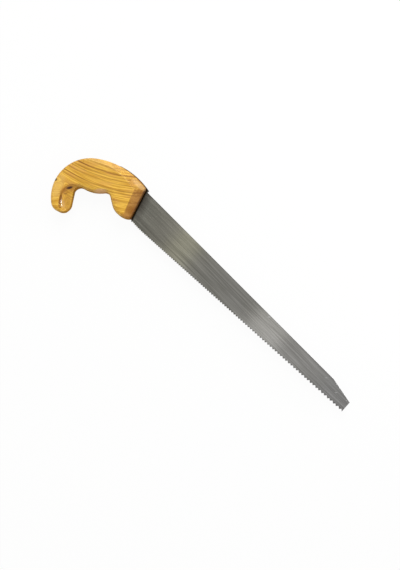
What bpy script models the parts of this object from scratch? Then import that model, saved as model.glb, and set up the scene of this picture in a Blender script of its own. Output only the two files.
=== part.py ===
"""A hand saw: a tapered steel blade with growing teeth, screwed into the kerf of an open wooden grip.

The saw lies flat. X runs along the blade's back to the nose, the teeth look to -Y and Z is up.
The origin is on the lower cheek, at the middle of the grip. All lengths are in metres.
"""
import math

import bmesh
import bpy
from mathutils import Vector

# Fits and roundness
FIT = 0.0003                # gap left between pieces that touch
CHORD_ERROR = 0.00004       # how far an arc's facets may stray from the true curve
OVERSHOOT = 0.006           # how far a cutter runs past the wood
WELD = 0.00001              # points closer than this are one

# Handle: the outline, in the grip's own axes
GRIP_HANG = math.radians(45)        # turn of the grip's axes from the blade's back
GRIP_THICKNESS = 0.025
BACK_CENTRE_X = -0.0085
BACK_CENTRE_Y = -0.0314
BACK_RADIUS = 0.0540
TOP_RADIUS = 0.1002
CROWN_ANGLE = math.radians(83.3)    # where the top's curve runs into the back's
HOOK_ANGLE = math.radians(188.4)    # where the back's curve runs into the hook's
HOOK_RADIUS = 0.0130
HOOK_LEAN = math.radians(77.8)      # heading of the hook's inner side, from the throat's mouth upwards
THROAT_RADIUS = 0.0087
SWELL_X = 0.0026                    # lowest point of the swell under the palm
UNDERSIDE_Y = -0.0236
SWELL_RADIUS = 0.0442
CORNER_RADIUS = 0.0090              # hollow between the underside and the leg
LEG_X = 0.0167                      # the leg's rear side, at the underside's level
LEG_LEAN = math.radians(12.7)
FOOT_RADIUS = 0.0246
FOOT_Y = -0.0598
FOOT_SLOPE = math.radians(4.6)
FRONT_LEAN = math.radians(17.6)     # lean of the face that the blade comes out of
RIM_RADIUS = 0.0035
FINGER_RIM_RADIUS = 0.0065          # round the hook's end and the finger gap
RIM_STEPS = 4

# Handle: the shaping of each cheek
TOP_FACET_WIDTH = 0.0158            # on the cheek, at the front corner
TOP_FACET_END = math.radians(96)    # angle round the top's curve where the facet runs out
TOP_FACET_SLOPE = math.radians(33)
FRONT_FACET_TOP = 0.0136            # the front facet's width on the cheek, at its top
FRONT_FACET_FOOT = 0.0109           # and at the foot
FRONT_FACET_SLOPE = math.radians(34)
SCOOP_X = -0.0310
SCOOP_Y = -0.0370
SCOOP_RADIUS = 0.0200               # where the finger hollow meets the cheek, along the grip's X
SCOOP_STRETCH = 1.2                 # and how much longer it is along the grip's Y
SCOOP_DEPTH = 0.0070
SCOOP_CORNER = 0.0090
SCOOP_STEPS = 64

# Blade: its origin is where the handle's front face meets the line of the back
BLADE_X = 0.0613
BLADE_Y = 0.0318
BLADE_THICKNESS = 0.0012
BLADE_LENGTH = 0.4060
HEEL_WIDTH = 0.0461
NOSE_WIDTH = 0.0237
NOSE_CUT = 0.0395                   # length of the back that the nose's slant takes away
NOSE_DROP = 0.0073
NOSE_REACH = 0.0010                 # how far the nose's lower corner leads the upper one
HEEL_PITCH = 0.0030
NOSE_PITCH = 0.0056
TOOTH_ANGLE = math.radians(90)
TOOTH_SET = 0.00035                 # sideways lean of each tip, to alternate sides

# Tang: the part of the blade inside the handle
TANG_LENGTH = 0.0485
TANG_PROUD = 0.0012                 # how far its edge stands out of the wood's top
TANG_SHOULDER = 0.0035              # how far the raised edge runs ahead of the wood
TANG_FRONT_DEPTH = 0.0380
TANG_REAR_DEPTH = 0.0240
TANG_CORNER_RADIUS = 0.0080

# Screws, from the lower cheek: each inset from an end of the tang, and dropped below the blade's back
SCREW_LOWER_INSET = 0.0208
SCREW_LOWER_DROP = 0.0310
SCREW_UPPER_INSET = 0.0244
SCREW_UPPER_DROP = 0.0170
SCREW_REAR_INSET = 0.0085
SCREW_REAR_DROP = 0.0155
SCREW_RADIUS = 0.0020
SCREW_HEAD_RADIUS = 0.0040
SCREW_HEAD_RIM = 0.0004
SCREW_HEAD_CONE = 0.0020            # height of the countersunk part
SCREW_POINT = 0.0040
SCREW_TIP_RADIUS = 0.0004
SCREW_COVER = 0.0050                # wood left above the screw's tip
SCREW_SLOT_WIDTH = 0.0010
SCREW_SLOT_DEPTH = 0.0011
SCREW_STEPS = 24

RIGHT_ANGLE = math.radians(90)
HALF_GRIP = GRIP_THICKNESS / 2
HALF_BLADE = BLADE_THICKNESS / 2


def along(angle, length=1.0):
    """A flat vector of this length, at this angle from X."""
    return Vector((length * math.cos(angle), length * math.sin(angle)))


def angle_of(vector):
    """The angle of a flat vector from X."""
    return math.atan2(vector.y, vector.x)


def turned(vector, angle):
    """A flat vector, turned by an angle."""
    return along(angle_of(vector) + angle, vector.length)


def arc(centre, radius, start, end):
    """Points on a circle from one angle to another, as many as the chord error asks for."""
    step = 2 * math.acos(1 - CHORD_ERROR / radius)
    count = max(1, math.ceil(abs(end - start) / step))
    return [centre + along(start + (end - start) * i / count, radius) for i in range(count + 1)]


def line_circle(point, heading, centre, radius, leaving):
    """Where a line, followed along its heading, enters or leaves a circle."""
    offset = point - centre
    middle = -offset.dot(along(heading))
    half = math.sqrt(radius ** 2 - offset.dot(offset) + middle ** 2)
    return point + along(heading, middle + half if leaving else middle - half)


def line_line(point, heading, other, other_heading):
    """Where two lines, each given by a point and a heading, cross."""
    across = along(other_heading + RIGHT_ANGLE)
    return point + along(heading, (other - point).dot(across) / along(heading).dot(across))


def to_grip(point):
    """A point in the blade's axes, in the grip's axes."""
    return turned(point + Vector((BLADE_X, BLADE_Y)), -GRIP_HANG)


def to_blade(point):
    """A point in the grip's axes, in the blade's axes."""
    return turned(point, GRIP_HANG) - Vector((BLADE_X, BLADE_Y))


def clear_scene():
    """Remove what the scene holds."""
    for item in list(bpy.data.objects):
        bpy.data.objects.remove(item, do_unlink=True)


def new_collection(name):
    """A collection in the scene."""
    collection = bpy.data.collections.new(name)
    bpy.context.scene.collection.children.link(collection)
    return collection


def new_material(name, colour, roughness, metallic):
    """A plain finish."""
    material = bpy.data.materials.new(name)
    material.use_nodes = True
    shader = material.node_tree.nodes["Principled BSDF"]
    shader.inputs["Base Color"].default_value = (*colour, 1.0)
    shader.inputs["Roughness"].default_value = roughness
    shader.inputs["Metallic"].default_value = metallic
    return material


def mesh_object(name, bm, collection):
    """An object of a finished bmesh."""
    mesh = bpy.data.meshes.new(name)
    bm.to_mesh(mesh)
    bm.free()
    item = bpy.data.objects.new(name, mesh)
    collection.objects.link(item)
    return item


def sheet(name, points, half_thickness, collection):
    """A flat outline, filled with one face and extruded to its thickness."""
    bm = bmesh.new()
    lower = bm.faces.new([bm.verts.new((point.x, point.y, -half_thickness)) for point in points])
    extruded = bmesh.ops.extrude_face_region(bm, geom=[lower])["geom"]
    upper = [vert for vert in extruded if isinstance(vert, bmesh.types.BMVert)]
    bmesh.ops.translate(bm, verts=upper, vec=(0.0, 0.0, 2 * half_thickness))
    bmesh.ops.recalc_face_normals(bm, faces=bm.faces)
    return mesh_object(name, bm, collection)


def loft(name, sections, collection):
    """A closed body through sections that have the same number of corners."""
    bm = bmesh.new()
    rings = [[bm.verts.new(corner) for corner in section] for section in sections]
    for ring, following in zip(rings, rings[1:]):
        for i in range(len(ring)):
            j = (i + 1) % len(ring)
            bm.faces.new((ring[i], ring[j], following[j], following[i]))
    bm.faces.new(rings[0])
    bm.faces.new(rings[-1])
    bmesh.ops.recalc_face_normals(bm, faces=bm.faces)
    return mesh_object(name, bm, collection)


def turned_body(name, profile, steps, collection):
    """A profile of radius and height, from its top to its bottom, spun round Z."""
    bm = bmesh.new()
    corners = [bm.verts.new((radius, 0.0, height)) for radius, height in profile]
    for corner, following in zip(corners, corners[1:]):
        bm.edges.new((corner, following))
    item = mesh_object(name, bm, collection)
    spin = item.modifiers.new("spin", "SCREW")
    spin.steps = steps
    spin.render_steps = steps
    spin.use_merge_vertices = True
    spin.merge_threshold = WELD
    return item


def cut(item, cutter):
    """Take a cutter out of an object."""
    cutter.hide_render = True
    cutter.display_type = "WIRE"
    boolean = item.modifiers.new("cut_" + cutter.name, "BOOLEAN")
    boolean.operation = "DIFFERENCE"
    boolean.solver = "EXACT"
    boolean.object = cutter


def place(item, parent, location, turn=0.0):
    """Hang an object on its parent, at a place and a turn about Z."""
    item.parent = parent
    item.location = location
    item.rotation_euler = (0.0, 0.0, turn)


# The grip's circles and lines, which run into each other
back_centre = Vector((BACK_CENTRE_X, BACK_CENTRE_Y))
top_centre = back_centre - along(CROWN_ANGLE, TOP_RADIUS - BACK_RADIUS)
hook_centre = back_centre + along(HOOK_ANGLE, BACK_RADIUS - HOOK_RADIUS)
swell_centre = Vector((SWELL_X, UNDERSIDE_Y + SWELL_RADIUS))
leg_heading = LEG_LEAN - RIGHT_ANGLE
leg_point = Vector((LEG_X, UNDERSIDE_Y))
front_heading = RIGHT_ANGLE + FRONT_LEAN - GRIP_HANG
front_point = to_grip(Vector((0.0, 0.0)))
front_top = line_circle(front_point, front_heading, top_centre, TOP_RADIUS, leaving=True)


def grip_outline():
    """The handle's edge and its rims: from the front corner over the top, the hook and the finger gap."""
    inner_side = HOOK_LEAN - RIGHT_ANGLE
    throat_line = hook_centre + along(inner_side, HOOK_RADIUS + THROAT_RADIUS)
    throat = line_circle(throat_line, HOOK_LEAN, swell_centre, SWELL_RADIUS + THROAT_RADIUS, leaving=False)
    corner_line = leg_point + along(leg_heading - RIGHT_ANGLE, CORNER_RADIUS)
    corner = line_circle(corner_line, leg_heading, swell_centre, SWELL_RADIUS + CORNER_RADIUS, leaving=True)
    foot_line = leg_point + along(leg_heading + RIGHT_ANGLE, FOOT_RADIUS)
    foot_level = Vector((0.0, FOOT_Y + FOOT_RADIUS))
    foot = line_line(foot_line, leg_heading, foot_level, 0.0)
    throat_side, corner_side = swell_centre - throat, swell_centre - corner
    foot_arc = arc(foot, FOOT_RADIUS, leg_heading - RIGHT_ANGLE, -FOOT_SLOPE - RIGHT_ANGLE)
    foot_corner = line_line(foot_arc[-1], -FOOT_SLOPE, front_point, front_heading)
    narrow, wide = RIM_RADIUS, FINGER_RIM_RADIUS
    stretches = (
        (arc(top_centre, TOP_RADIUS, angle_of(front_top - top_centre), CROWN_ANGLE), narrow, narrow),
        (arc(back_centre, BACK_RADIUS, CROWN_ANGLE, HOOK_ANGLE), narrow, narrow),
        (arc(hook_centre, HOOK_RADIUS, HOOK_ANGLE, inner_side + 4 * RIGHT_ANGLE), narrow, wide),
        (arc(throat, THROAT_RADIUS, HOOK_LEAN + RIGHT_ANGLE, angle_of(throat_side)), wide, wide),
        (arc(swell_centre, SWELL_RADIUS, angle_of(-throat_side), angle_of(-corner_side)), wide, wide),
        (arc(corner, CORNER_RADIUS, angle_of(corner_side), leg_heading + RIGHT_ANGLE), wide, wide),
        (foot_arc, wide, narrow),
        ([foot_corner], narrow, narrow),
    )
    points, rims = [], []
    for stretch, first_rim, last_rim in stretches:
        for i, point in enumerate(stretch):
            if not points or (point - points[-1]).length > WELD:
                points.append(point)
                rims.append(first_rim + (last_rim - first_rim) * i / len(stretch))
    return points, rims


def rounded_sections(points, rims):
    """The handle's sections from the lower cheek to the upper one, drawn in by each point's rim."""
    inwards = []
    for before, point, after in zip(points[-1:] + points[:-1], points, points[1:] + points[:1]):
        first, last = angle_of(point - before), angle_of(after - point)
        bisector = along(first + RIGHT_ANGLE) + along(last + RIGHT_ANGLE)
        inwards.append(bisector * 2 / bisector.length_squared)
    turns = [RIGHT_ANGLE * i / RIM_STEPS for i in range(RIM_STEPS + 1)]
    lower_half = [(-1, turn) for turn in reversed(turns)]
    upper_half = [(1, turn) for turn in turns]
    sections = []
    for side, turn in lower_half + upper_half:
        section = []
        for point, inward, rim in zip(points, inwards, rims):
            height = HALF_GRIP - rim * (1 - math.sin(turn))
            section.append((*(point + inward * rim * (1 - math.cos(turn))), height * side))
        sections.append(section)
    return sections


def facet_cutter(name, stations, slope, side, collection):
    """What a facet takes off one cheek: at each station an edge point, the way out and the width."""
    sections = []
    for edge, outwards, width in stations:
        inner = edge - outwards * (width + OVERSHOOT)
        outer = edge + outwards * OVERSHOOT
        over = HALF_GRIP + OVERSHOOT * math.tan(slope)
        under = HALF_GRIP - (width + OVERSHOOT) * math.tan(slope)
        sections.append(((*inner, over * side), (*outer, under * side), (*outer, over * side)))
    return loft(name, sections, collection)


def top_facet_stations():
    """The facet along the top, widest at the front corner and gone behind the crown."""
    front = angle_of(front_top - top_centre)
    first = front - OVERSHOOT / TOP_RADIUS
    count = math.ceil((TOP_FACET_END - first) * TOP_RADIUS / OVERSHOOT)
    stations = []
    for i in range(count + 1):
        angle = first + (TOP_FACET_END - first) * i / count
        width = TOP_FACET_WIDTH * (TOP_FACET_END - angle) / (TOP_FACET_END - front)
        stations.append((top_centre + along(angle, TOP_RADIUS), along(angle), width))
    return stations


def front_facet_stations(foot_corner):
    """The facet behind the blade, from past the front corner to past the foot."""
    outwards = along(front_heading - RIGHT_ANGLE)
    drop = (foot_corner - front_top).length
    stations = []
    for run in (-OVERSHOOT, drop + OVERSHOOT):
        width = FRONT_FACET_TOP + (FRONT_FACET_FOOT - FRONT_FACET_TOP) * run / drop
        stations.append((front_top - along(front_heading, run), outwards, width))
    return stations


def scoop_cutter(name, side, collection):
    """The round-cornered cutter that hollows one cheek at the throat."""
    floor = HALF_GRIP - SCOOP_DEPTH
    roof = HALF_GRIP + OVERSHOOT
    flat = SCOOP_RADIUS - math.sqrt(SCOOP_CORNER ** 2 - (SCOOP_CORNER - SCOOP_DEPTH) ** 2)
    corner = arc(Vector((flat, floor + SCOOP_CORNER)), SCOOP_CORNER, 0.0, -RIGHT_ANGLE)
    profile = [(0.0, roof), (flat + SCOOP_CORNER, roof), *corner, (0.0, floor)]
    if side < 0:
        profile = [(radius, -height) for radius, height in reversed(profile)]
    cutter = turned_body(name, profile, SCOOP_STEPS, collection)
    cutter.scale.y = SCOOP_STRETCH
    return cutter


def front_x(depth):
    """How far forward the handle's front face is, this far below the blade's back."""
    return depth * math.tan(FRONT_LEAN)


def tang_underside(clearance):
    """The tang's rear end and lower edge, from the top of the rear end to the front face."""
    rear = Vector((-TANG_LENGTH, -TANG_REAR_DEPTH))
    front = Vector((front_x(TANG_FRONT_DEPTH), -TANG_FRONT_DEPTH))
    heading = angle_of(front - rear)
    radius = TANG_CORNER_RADIUS + clearance
    turn = heading + RIGHT_ANGLE
    reach = TANG_CORNER_RADIUS * math.tan(turn / 2)
    centre = rear + along(heading, reach) + along(turn, TANG_CORNER_RADIUS)
    points = arc(centre, radius, math.pi, turn + math.pi)
    points.append(front - along(turn, clearance))
    return points


def kerf_outline():
    """The slot for the tang, open above it and in front of it."""
    points = tang_underside(FIT)
    roof = BLADE_Y + TOP_RADIUS
    points.append(points[-1] + along(angle_of(points[-1] - points[-2]), 2 * OVERSHOOT))
    points.append(Vector((points[-1].x, roof)))
    points.append(Vector((points[0].x, roof)))
    return points


# The toothed edge, as lengths along the line of the tips from the heel
tips_lean = math.atan2(HEEL_WIDTH - NOSE_WIDTH, BLADE_LENGTH)
nose_corner = Vector((BLADE_LENGTH, -NOSE_WIDTH))
heel_front = Vector((FIT / math.cos(FRONT_LEAN), 0.0))
heel = line_line(nose_corner, tips_lean, heel_front, RIGHT_ANGLE + FRONT_LEAN)
edge_length = (nose_corner - heel).length
growth = (NOSE_PITCH - HEEL_PITCH) / edge_length
tooth_count = round(math.log(NOSE_PITCH / HEEL_PITCH) / math.log(1 + growth))
tooth_ratio = (NOSE_PITCH / HEEL_PITCH) ** (1 / tooth_count)
last_tip = tooth_count + 0.5


def along_edge(tooth):
    """Length along the edge at a tooth's number: whole at a gullet, and a half more at a tip."""
    return edge_length * (tooth_ratio ** tooth - 1) / (tooth_ratio ** last_tip - 1)


def tooth_number(length):
    """The tooth's number at a length along the edge."""
    return math.log(1 + length * (tooth_ratio ** last_tip - 1) / edge_length) / math.log(tooth_ratio)


def gullet_depth(tooth):
    """How deep the gullet at a whole number is."""
    pitch = along_edge(tooth + 0.5) - along_edge(tooth - 0.5)
    return pitch / 2 / math.tan(TOOTH_ANGLE / 2)


def edge_point(tooth, depth):
    """A point of the toothed edge, in the blade's axes."""
    return heel + along(tips_lean, along_edge(tooth)) + along(tips_lean + RIGHT_ANGLE, depth)


def toothed_edge():
    """The edge from the heel to the half tooth at the nose."""
    points = []
    for tooth in range(1, tooth_count + 1):
        points.append(edge_point(tooth - 0.5, 0.0))
        points.append(edge_point(tooth, gullet_depth(tooth)))
    points.append(nose_corner)
    return points


def gullet_line():
    """The straight line through the gullets: a point and a heading."""
    first = edge_point(0, gullet_depth(0))
    last = edge_point(tooth_count, gullet_depth(tooth_count))
    return first, angle_of(last - first)


def blade_outline():
    """The blade and its tang, round from the front of the tang's lower edge."""
    notch = Vector((front_x(TANG_FRONT_DEPTH), -TANG_FRONT_DEPTH)) + heel_front
    points = [notch]
    points.append(line_line(*gullet_line(), heel_front, RIGHT_ANGLE + FRONT_LEAN))
    points += toothed_edge()
    points.append(Vector((BLADE_LENGTH - NOSE_REACH, -NOSE_DROP)))
    points.append(Vector((BLADE_LENGTH - NOSE_CUT, 0.0)))
    points.append(Vector((TANG_SHOULDER, 0.0)))
    centre = to_blade(top_centre)
    radius = TOP_RADIUS + TANG_PROUD
    front = math.acos((TANG_SHOULDER - centre.x) / radius)
    rear = math.acos((-TANG_LENGTH - centre.x) / radius)
    points += arc(centre, radius, front, rear)
    points += tang_underside(0.0)[:-1]
    return points


def set_teeth(item):
    """Lean the tips to alternate sides, bent along the line of the gullets."""
    gullet, heading = gullet_line()
    across = along(heading + RIGHT_ANGLE)
    bm = bmesh.new()
    bm.from_mesh(item.data)
    bmesh.ops.triangulate(bm, faces=bm.faces)
    everything = list(bm.verts) + list(bm.edges) + list(bm.faces)
    bmesh.ops.bisect_plane(bm, geom=everything, dist=WELD, plane_co=(*gullet, 0.0), plane_no=(*across, 0.0))
    for vert in bm.verts:
        offset = vert.co.to_2d() - heel
        length = offset.dot(along(tips_lean))
        depth = offset.dot(along(tips_lean + RIGHT_ANGLE))
        if depth < gullet_depth(0) / 2 and length > 0.0:
            vert.co.z += TOOTH_SET if int(tooth_number(length)) % 2 else -TOOTH_SET
    bm.to_mesh(item.data)
    bm.free()


def screw_profile(clearance):
    """Radius and height of a countersunk screw, from its tip down to its head's flat."""
    tip = GRIP_THICKNESS - SCREW_COVER + clearance
    shank = SCREW_RADIUS + clearance
    head = SCREW_HEAD_RADIUS + clearance
    flat = FIT - clearance
    rim = FIT + SCREW_HEAD_RIM
    return [
        (0.0, tip),
        (SCREW_TIP_RADIUS + clearance, tip),
        (shank, tip - SCREW_POINT),
        (shank, rim + SCREW_HEAD_CONE),
        (head, rim),
        (head, flat),
        (0.0, flat),
    ]


def open_below(profile):
    """A screw's profile, with its head carried on down out of the wood."""
    head, flat = profile[-2]
    return profile[:-2] + [(head, flat - OVERSHOOT), (0.0, flat - OVERSHOOT)]


def slot_cutter(name, collection):
    """The bar that cuts the slot across a screw's head."""
    bm = bmesh.new()
    bmesh.ops.create_cube(bm, size=1.0)
    size = (2 * SCREW_HEAD_RADIUS + OVERSHOOT, SCREW_SLOT_WIDTH, 2 * SCREW_SLOT_DEPTH)
    bmesh.ops.scale(bm, verts=bm.verts, vec=size)
    return mesh_object(name, bm, collection)


clear_scene()
saw = new_collection("hand_saw")
cutters = new_collection("hand_saw_cutters")
root = bpy.data.objects.new("hand_saw_root", None)
saw.objects.link(root)
lacquered_wood = new_material("lacquered_hardwood", (0.56, 0.29, 0.07), 0.35, 0.0)
ground_steel = new_material("ground_saw_steel", (0.22, 0.215, 0.205), 0.38, 1.0)
screw_steel = new_material("bright_screw_steel", (0.50, 0.49, 0.47), 0.30, 1.0)

# Handle
grip_points, grip_rims = grip_outline()
handle = loft("handle", rounded_sections(grip_points, grip_rims), saw)
handle.data.materials.append(lacquered_wood)
place(handle, root, (0.0, 0.0, HALF_GRIP), GRIP_HANG)
top_stations = top_facet_stations()
front_stations = front_facet_stations(grip_points[-1])
for side, cheek in ((1, "upper"), (-1, "lower")):
    facets = [
        facet_cutter(f"top_facet_{cheek}", top_stations, TOP_FACET_SLOPE, side, cutters),
        facet_cutter(f"front_facet_{cheek}", front_stations, FRONT_FACET_SLOPE, side, cutters),
    ]
    for facet in facets:
        place(facet, root, (0.0, 0.0, HALF_GRIP), GRIP_HANG)
        cut(handle, facet)
    scoop = scoop_cutter(f"scoop_{cheek}", side, cutters)
    place(scoop, root, (*turned(Vector((SCOOP_X, SCOOP_Y)), GRIP_HANG), HALF_GRIP), GRIP_HANG)
    cut(handle, scoop)

# Blade, and the kerf that takes its tang
blade_place = Vector((BLADE_X, BLADE_Y, HALF_GRIP))
blade = sheet("blade", blade_outline(), HALF_BLADE, saw)
blade.data.materials.append(ground_steel)
set_teeth(blade)
place(blade, root, blade_place)
kerf = sheet("kerf", kerf_outline(), HALF_BLADE + FIT, cutters)
place(kerf, root, blade_place)
cut(handle, kerf)

# Screws, with their holes through the tang and into the wood
screw_places = {
    "screw_front_lower": (front_x(SCREW_LOWER_DROP) - SCREW_LOWER_INSET, -SCREW_LOWER_DROP),
    "screw_front_upper": (front_x(SCREW_UPPER_DROP) - SCREW_UPPER_INSET, -SCREW_UPPER_DROP),
    "screw_rear": (SCREW_REAR_INSET - TANG_LENGTH, -SCREW_REAR_DROP),
}
for name, (x, y) in screw_places.items():
    foot = Vector((BLADE_X + x, BLADE_Y + y, 0.0))
    screw = turned_body(name, screw_profile(0.0), SCREW_STEPS, saw)
    screw.data.materials.append(screw_steel)
    place(screw, root, foot)
    slot = slot_cutter(name + "_slot", cutters)
    place(slot, root, foot + Vector((0.0, 0.0, FIT)), GRIP_HANG)
    cut(screw, slot)
    hole = turned_body(name + "_hole", open_below(screw_profile(FIT)), SCREW_STEPS, cutters)
    place(hole, root, foot)
    cut(handle, hole)
    cut(blade, hole)
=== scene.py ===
"""The looks of a hand saw: a figured wooden grip, a ground steel blade with growing teeth and three screws.

The saw lies flat on its lower cheek. X runs along the blade's back to the nose, the teeth look to -Y and
Z is up. All lengths are in metres, unless a name or a comment says mm.
"""
import math

import bmesh
import bpy
from mathutils import Matrix, Vector


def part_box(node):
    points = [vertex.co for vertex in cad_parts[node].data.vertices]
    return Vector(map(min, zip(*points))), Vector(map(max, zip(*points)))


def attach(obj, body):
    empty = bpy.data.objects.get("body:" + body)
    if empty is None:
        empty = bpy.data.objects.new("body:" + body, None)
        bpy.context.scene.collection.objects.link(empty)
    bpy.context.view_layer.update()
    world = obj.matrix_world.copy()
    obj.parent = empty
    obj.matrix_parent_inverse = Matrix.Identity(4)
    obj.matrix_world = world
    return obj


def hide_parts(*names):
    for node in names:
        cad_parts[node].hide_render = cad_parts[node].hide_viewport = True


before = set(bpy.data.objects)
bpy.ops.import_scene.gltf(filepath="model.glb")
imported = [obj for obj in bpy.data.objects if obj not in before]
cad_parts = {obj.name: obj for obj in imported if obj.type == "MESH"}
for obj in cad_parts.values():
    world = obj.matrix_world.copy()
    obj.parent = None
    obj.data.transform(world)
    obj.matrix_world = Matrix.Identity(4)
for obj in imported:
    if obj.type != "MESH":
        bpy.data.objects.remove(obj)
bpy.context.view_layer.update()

# Handle: one piece of ring-porous hardwood, sawn from a board as thick as the grip. Its outline is bandsawn,
# the facets and finger hollows are shaved on both cheeks, and the edges are sanded round. A kerf in its
# front takes the blade's tang, three holes in its lower cheek take the screws, and clear lacquer covers it.
RIGHT_ANGLE = math.radians(90)
GRIP_HANG = math.radians(45)        # turn of the grip's own axes from the blade's back
BACK_CENTRE = Vector((-0.0085, -0.0314))
BACK_RADIUS = 0.0540
TOP_RADIUS = 0.1002
CROWN_ANGLE = math.radians(83.3)
HOOK_ANGLE = math.radians(188.4)
HOOK_RADIUS = 0.0130
HOOK_LEAN = math.radians(77.8)
THROAT_RADIUS = 0.0087
SWELL_LOWEST = Vector((0.0026, -0.0236))
SWELL_RADIUS = 0.0442
CORNER_RADIUS = 0.0090
LEG_X = 0.0167
LEG_HEADING = math.radians(12.7) - RIGHT_ANGLE
FOOT_RADIUS = 0.0246
FOOT_Y = -0.0598
FOOT_SLOPE = math.radians(4.6)
FRONT_LEAN = math.radians(17.6)
FRONT_HEADING = RIGHT_ANGLE + FRONT_LEAN - GRIP_HANG
RIM_RADIUS = 0.0035
FINGER_RIM_RADIUS = 0.0065          # round the hook's end and the finger gap
RIM_STEPS = 8
ARC_STEP = math.radians(2)
TOP_FACET_WIDTH = 0.0158
TOP_FACET_END = math.radians(96)
TOP_FACET_SLOPE = math.radians(33)
FRONT_FACET_WIDTHS = (0.0136, 0.0109)       # at its top and at the foot
FRONT_FACET_SLOPE = math.radians(34)
SCOOP = Vector((-0.0310, -0.0370))
SCOOP_RADIUS = 0.0200               # where it meets the cheek, along the grip's X
SCOOP_STRETCH = 1.2                 # and how much longer it is along the grip's Y
SCOOP_DEPTH = 0.0070
SCOOP_CORNER = 0.0090
SCOOP_STEPS = 128
OVERSHOOT = 0.006                   # how far a cutter runs past the wood
LACQUER = 0.00002                   # the wood is thinner than the box by this much on each cheek
WOOD_CELL = 0.00055                 # size of the mesh that the shaped wood is rebuilt with
SANDING_PASSES = 10
CRISP_ANGLE = math.radians(40)      # past this, two faces of the wood meet in a crisp edge

grip_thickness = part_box("handle")[1].z
half_grip = grip_thickness / 2
BLADE_ORIGIN = Vector((0.0613, 0.0318))     # where the front face meets the line of the blade's back
FIT = 0.0003                        # room left between pieces that fit together


def along(angle, length=1.0):
    """A flat vector of this length, at this angle from X."""
    return Vector((length * math.cos(angle), length * math.sin(angle)))


def angle_of(vector):
    """The angle of a flat vector from X."""
    return math.atan2(vector.y, vector.x)


def arc(centre, radius, start, end):
    """Points on a circle, from one angle to another."""
    count = max(1, math.ceil(abs(end - start) / ARC_STEP))
    return [centre + along(start + (end - start) * i / count, radius) for i in range(count + 1)]


def line_circle(point, heading, centre, radius, leaving):
    """Where a line, followed along its heading, enters or leaves a circle."""
    offset = point - centre
    middle = -offset.dot(along(heading))
    half = math.sqrt(radius ** 2 - offset.dot(offset) + middle ** 2)
    return point + along(heading, middle + half if leaving else middle - half)


def line_line(point, heading, other, other_heading):
    """Where two lines, each given by a point and a heading, cross."""
    across = along(other_heading + RIGHT_ANGLE)
    return point + along(heading, (other - point).dot(across) / along(heading).dot(across))


def new_piece(name, bm):
    """An object of a finished bmesh, with its faces turned outwards."""
    bmesh.ops.recalc_face_normals(bm, faces=bm.faces)
    mesh = bpy.data.meshes.new(name)
    bm.to_mesh(mesh)
    bm.free()
    piece = bpy.data.objects.new(name, mesh)
    bpy.context.scene.collection.objects.link(piece)
    return piece


def loft(name, sections):
    """A closed body through sections that have the same number of corners."""
    bm = bmesh.new()
    rings = [[bm.verts.new(corner) for corner in section] for section in sections]
    for ring, following in zip(rings, rings[1:]):
        for i in range(len(ring)):
            j = (i + 1) % len(ring)
            bm.faces.new((ring[i], ring[j], following[j], following[i]))
    bm.faces.new(rings[0])
    bm.faces.new(rings[-1])
    return new_piece(name, bm)


def settle(piece):
    """Replace a piece's mesh by what its modifiers make of it."""
    graph = bpy.context.evaluated_depsgraph_get()
    mesh = bpy.data.meshes.new_from_object(piece.evaluated_get(graph))
    piece.modifiers.clear()
    piece.data = mesh


def carve(piece, cutters):
    """Take cutters out of a piece, and throw them away."""
    for cutter in cutters:
        boolean = piece.modifiers.new("carve", "BOOLEAN")
        boolean.operation = "DIFFERENCE"
        boolean.solver = "MANIFOLD"
        boolean.object = cutter
    settle(piece)
    for cutter in cutters:
        bpy.data.objects.remove(cutter)


top_centre = BACK_CENTRE - along(CROWN_ANGLE, TOP_RADIUS - BACK_RADIUS)
hook_centre = BACK_CENTRE + along(HOOK_ANGLE, BACK_RADIUS - HOOK_RADIUS)
swell_centre = SWELL_LOWEST + Vector((0.0, SWELL_RADIUS))
leg_point = Vector((LEG_X, SWELL_LOWEST.y))
front_point = along(angle_of(BLADE_ORIGIN) - GRIP_HANG, BLADE_ORIGIN.length)
front_top = line_circle(front_point, FRONT_HEADING, top_centre, TOP_RADIUS, leaving=True)
front_angle = angle_of(front_top - top_centre)


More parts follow.
